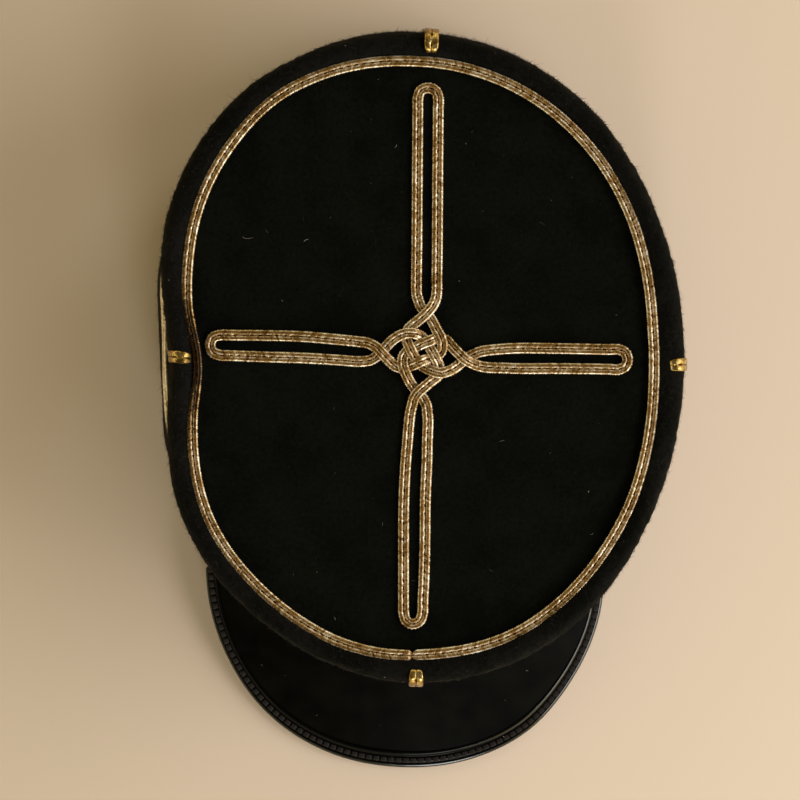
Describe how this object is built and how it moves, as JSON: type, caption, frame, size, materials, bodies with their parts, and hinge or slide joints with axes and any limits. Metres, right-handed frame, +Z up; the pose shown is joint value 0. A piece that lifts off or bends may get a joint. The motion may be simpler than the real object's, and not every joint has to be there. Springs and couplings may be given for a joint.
{
  "type": "marching band hat",
  "caption": "Kepi style marching band cap with a soft black wool crown, sunk oval top, gold soutache ring and knot, upright gold braids and a bound leather peak.",
  "frame": {"origin": "middle of the cap's footprint, on the surface that it rests on", "axes": "+Z up, -Y towards the tip of the peak, +X to the right of the picture that looks down on it"},
  "size_m": [0.164, 0.2392, 0.1045],
  "materials": {
    "wool_cloth": "fulled black wool with a short nap",
    "gold_braid": "aged gilt thread wound over two cords",
    "peak_leather": "polished black leather, a little dusty",
    "binding_leather": "glossy black patent leather"
  },
  "bodies": {
    "root": {"band": "wool_cloth", "crown_wall": "wool_cloth", "top_panel": "wool_cloth", "ring_braid": "gold_braid", "knot_braid": "gold_braid", "side_braid_right": "gold_braid", "side_braid_back": "gold_braid", "side_braid_left": "gold_braid", "side_braid_front": "gold_braid", "band_braid": "gold_braid", "peak": "peak_leather", "peak_binding": "binding_leather"}
  },
  "joints": []
}
